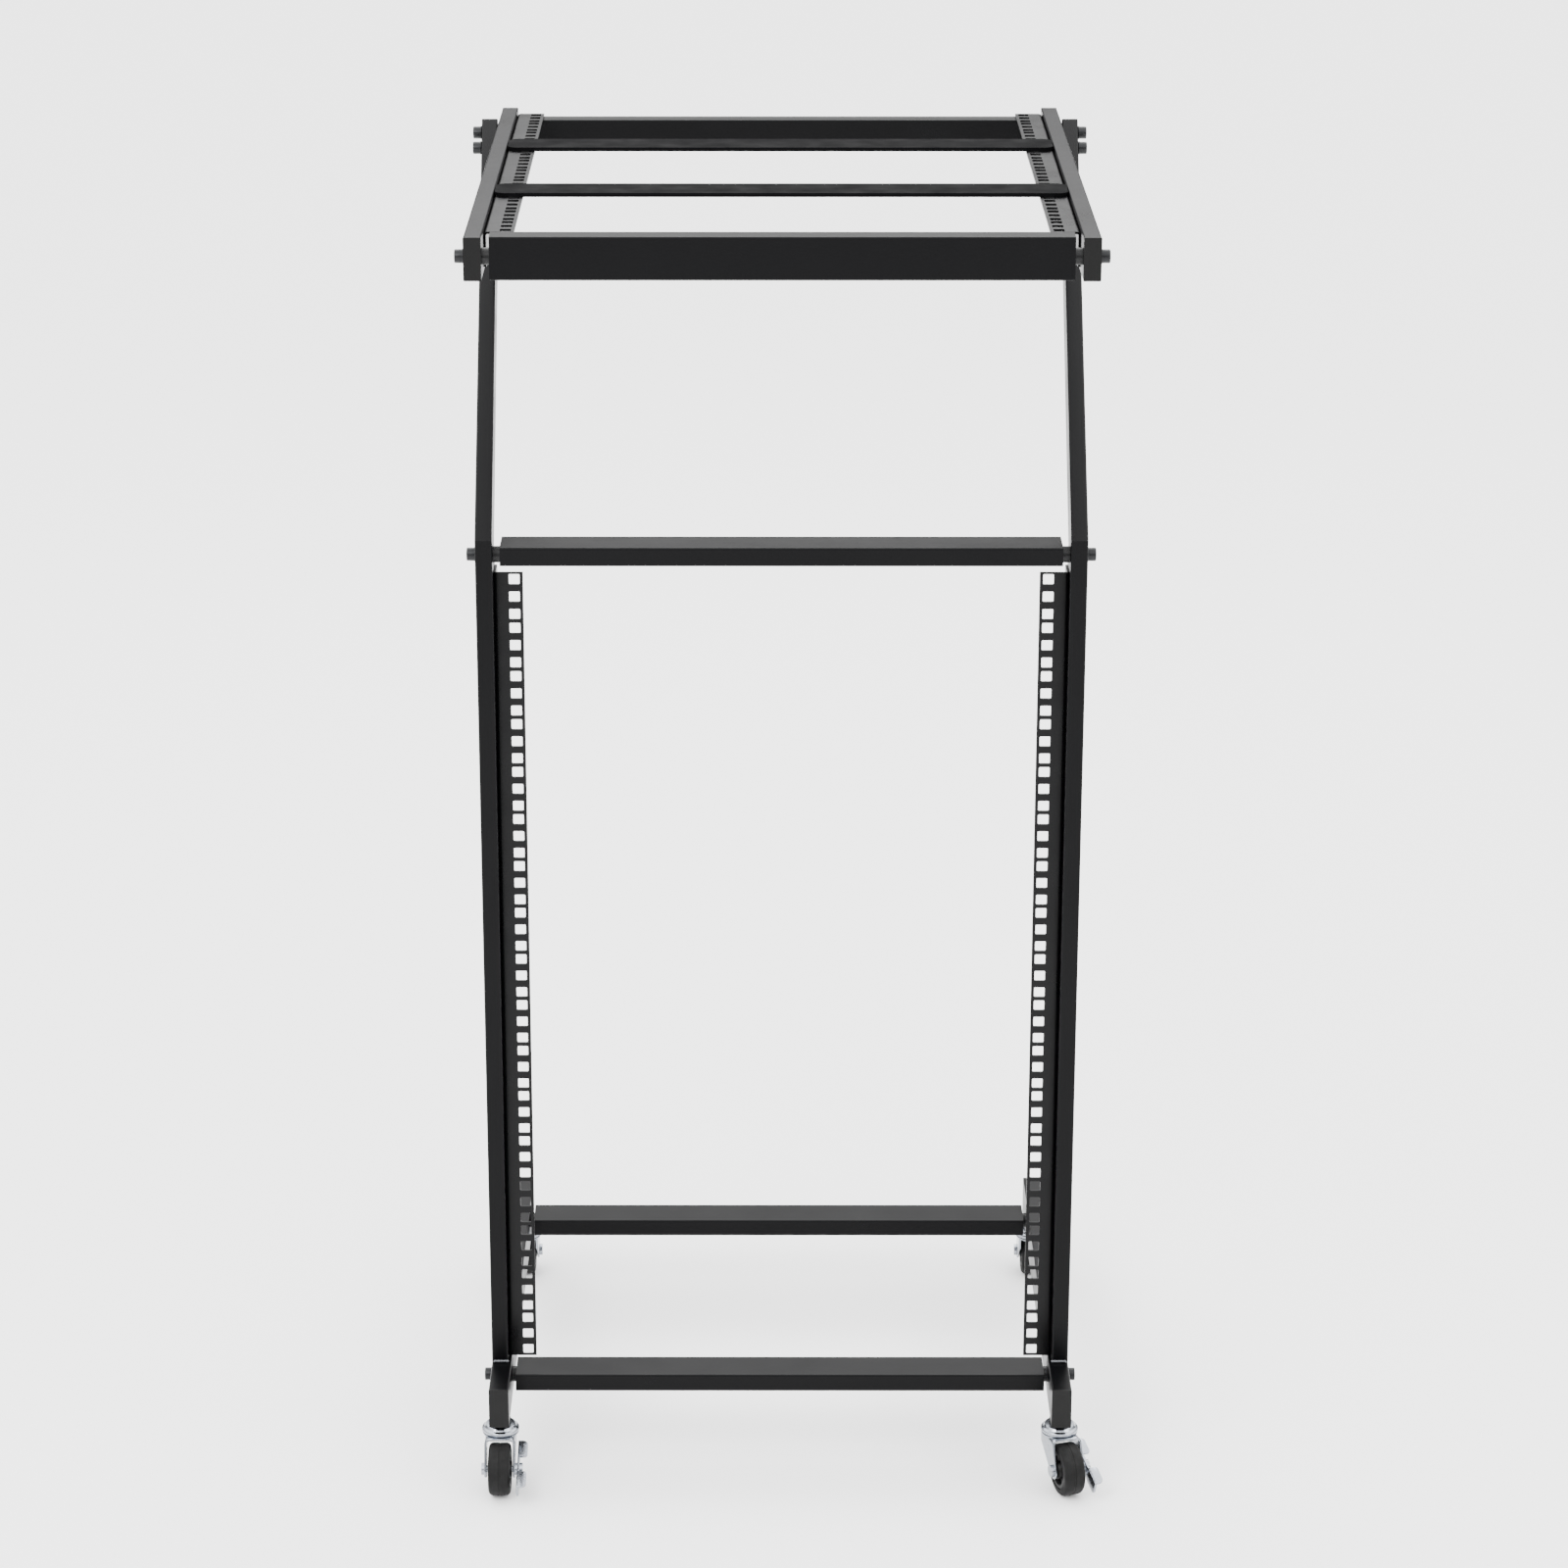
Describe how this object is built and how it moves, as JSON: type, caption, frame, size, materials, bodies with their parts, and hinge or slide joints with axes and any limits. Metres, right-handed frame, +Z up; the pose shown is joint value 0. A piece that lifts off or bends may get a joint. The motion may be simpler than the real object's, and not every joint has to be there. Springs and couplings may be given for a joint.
{
  "type": "studio rack stand",
  "caption": "Rolling black steel stand with an upright rack in front, a level rack on leaning posts above it, and swivel casters with brake pedals at the front",
  "frame": {"origin": "on the floor under the middle of the stand's overall box", "axes": "+X to the stand's right seen from the front, +Y to the back, +Z up; the front rack faces -Y"},
  "size_m": [0.5833, 0.6015, 1.1727],
  "materials": {
    "frame_coat": "black powder coat",
    "rail_coat": "black powder coat",
    "bolt_black": "black oxide",
    "plug_plastic": "moulded black",
    "spacer_plastic": "dark nylon",
    "insert_steel": "bare machined steel",
    "weld_metal": "weld metal under thin coat",
    "zinc_plate": "bright zinc plate",
    "nut_black": "black oxide",
    "tyre_rubber": "black tread",
    "hub_plastic": "moulded black"
  },
  "bodies": {
    "frame": {"base_tube_left": "frame_coat", "base_tube_right": "frame_coat", "lower_post_left": "frame_coat", "lower_post_right": "frame_coat", "upper_post_left": "frame_coat", "upper_post_right": "frame_coat", "top_side_tube_left": "frame_coat", "top_side_tube_right": "frame_coat", "top_front_cross_tube": "frame_coat", "top_rear_cross_tube": "frame_coat", "mid_crossbar": "frame_coat", "lower_crossbar": "frame_coat", "rear_crossbar": "frame_coat", "support_bar_front": "frame_coat", "support_bar_rear": "frame_coat", "front_rail_left": "rail_coat", "front_rail_right": "rail_coat", "top_rail_left": "rail_coat", "top_rail_right": "rail_coat", "top_front_bolts": "bolt_black", "top_rear_bolts": "bolt_black", "mid_bolts": "bolt_black", "lower_bolts": "bolt_black", "rear_bolts": "bolt_black", "top_joint_bolts": "bolt_black", "top_joint_nuts": "bolt_black", "top_tube_plugs": "plug_plastic", "base_tube_plugs": "plug_plastic", "upper_post_caps": "plug_plastic", "crossbar_spacers": "spacer_plastic", "crossbar_inserts": "insert_steel", "weld_beads": "weld_metal", "caster_stems": "zinc_plate", "caster_race_caps": "zinc_plate", "caster_nuts": "nut_black"},
    "swivel_front_left": {"caster_fork_front_left": "zinc_plate", "caster_axle_front_left": "zinc_plate"},
    "wheel_front_left": {"caster_tyre_front_left": "tyre_rubber", "caster_hub_front_left": "hub_plastic"},
    "swivel_front_right": {"caster_fork_front_right": "zinc_plate", "caster_axle_front_right": "zinc_plate"},
    "wheel_front_right": {"caster_tyre_front_right": "tyre_rubber", "caster_hub_front_right": "hub_plastic"},
    "swivel_rear_left": {"caster_fork_rear_left": "zinc_plate", "caster_axle_rear_left": "zinc_plate"},
    "wheel_rear_left": {"caster_tyre_rear_left": "tyre_rubber", "caster_hub_rear_left": "hub_plastic"},
    "swivel_rear_right": {"caster_fork_rear_right": "zinc_plate", "caster_axle_rear_right": "zinc_plate"},
    "wheel_rear_right": {"caster_tyre_rear_right": "tyre_rubber", "caster_hub_rear_right": "hub_plastic"},
    "pedal_front_left": {"brake_pedal_front_left": "zinc_plate"},
    "pedal_front_right": {"brake_pedal_front_right": "zinc_plate"}
  },
  "joints": [
    {"name": "swivel_front_left", "type": "hinge", "parent": "frame", "child": "swivel_front_left", "pos_m": [-0.2565, -0.2545, 0.051], "axis": [0, 0, 1], "continuous": true},
    {"name": "roll_front_left", "type": "hinge", "parent": "swivel_front_left", "child": "wheel_front_left", "pos_m": [-0.2565, -0.2765, 0.024], "axis": [1, 0, 0], "continuous": true},
    {"name": "pedal_front_left", "type": "hinge", "parent": "swivel_front_left", "child": "pedal_front_left", "pos_m": [-0.2565, -0.2765, 0.024], "axis": [1, 0, 0], "range_deg": [-18, 0]},
    {"name": "swivel_front_right", "type": "hinge", "parent": "frame", "child": "swivel_front_right", "pos_m": [0.2565, -0.2545, 0.051], "axis": [0, 0, 1], "continuous": true},
    {"name": "roll_front_right", "type": "hinge", "parent": "swivel_front_right", "child": "wheel_front_right", "pos_m": [0.26293, -0.27554, 0.024], "axis": [0.9563, 0.2924, 0], "continuous": true},
    {"name": "pedal_front_right", "type": "hinge", "parent": "swivel_front_right", "child": "pedal_front_right", "pos_m": [0.26293, -0.27554, 0.024], "axis": [0.9563, 0.2924, 0], "range_deg": [-18, 0]},
    {"name": "swivel_rear_left", "type": "hinge", "parent": "frame", "child": "swivel_rear_left", "pos_m": [-0.2565, 0.1625, 0.051], "axis": [0, 0, 1], "continuous": true},
    {"name": "roll_rear_left", "type": "hinge", "parent": "swivel_rear_left", "child": "wheel_rear_left", "pos_m": [-0.2565, 0.1845, 0.024], "axis": [1, 0, 0], "continuous": true},
    {"name": "swivel_rear_right", "type": "hinge", "parent": "frame", "child": "swivel_rear_right", "pos_m": [0.2565, 0.1625, 0.051], "axis": [0, 0, 1], "continuous": true},
    {"name": "roll_rear_right", "type": "hinge", "parent": "swivel_rear_right", "child": "wheel_rear_right", "pos_m": [0.2565, 0.1845, 0.024], "axis": [1, 0, 0], "continuous": true}
  ]
}
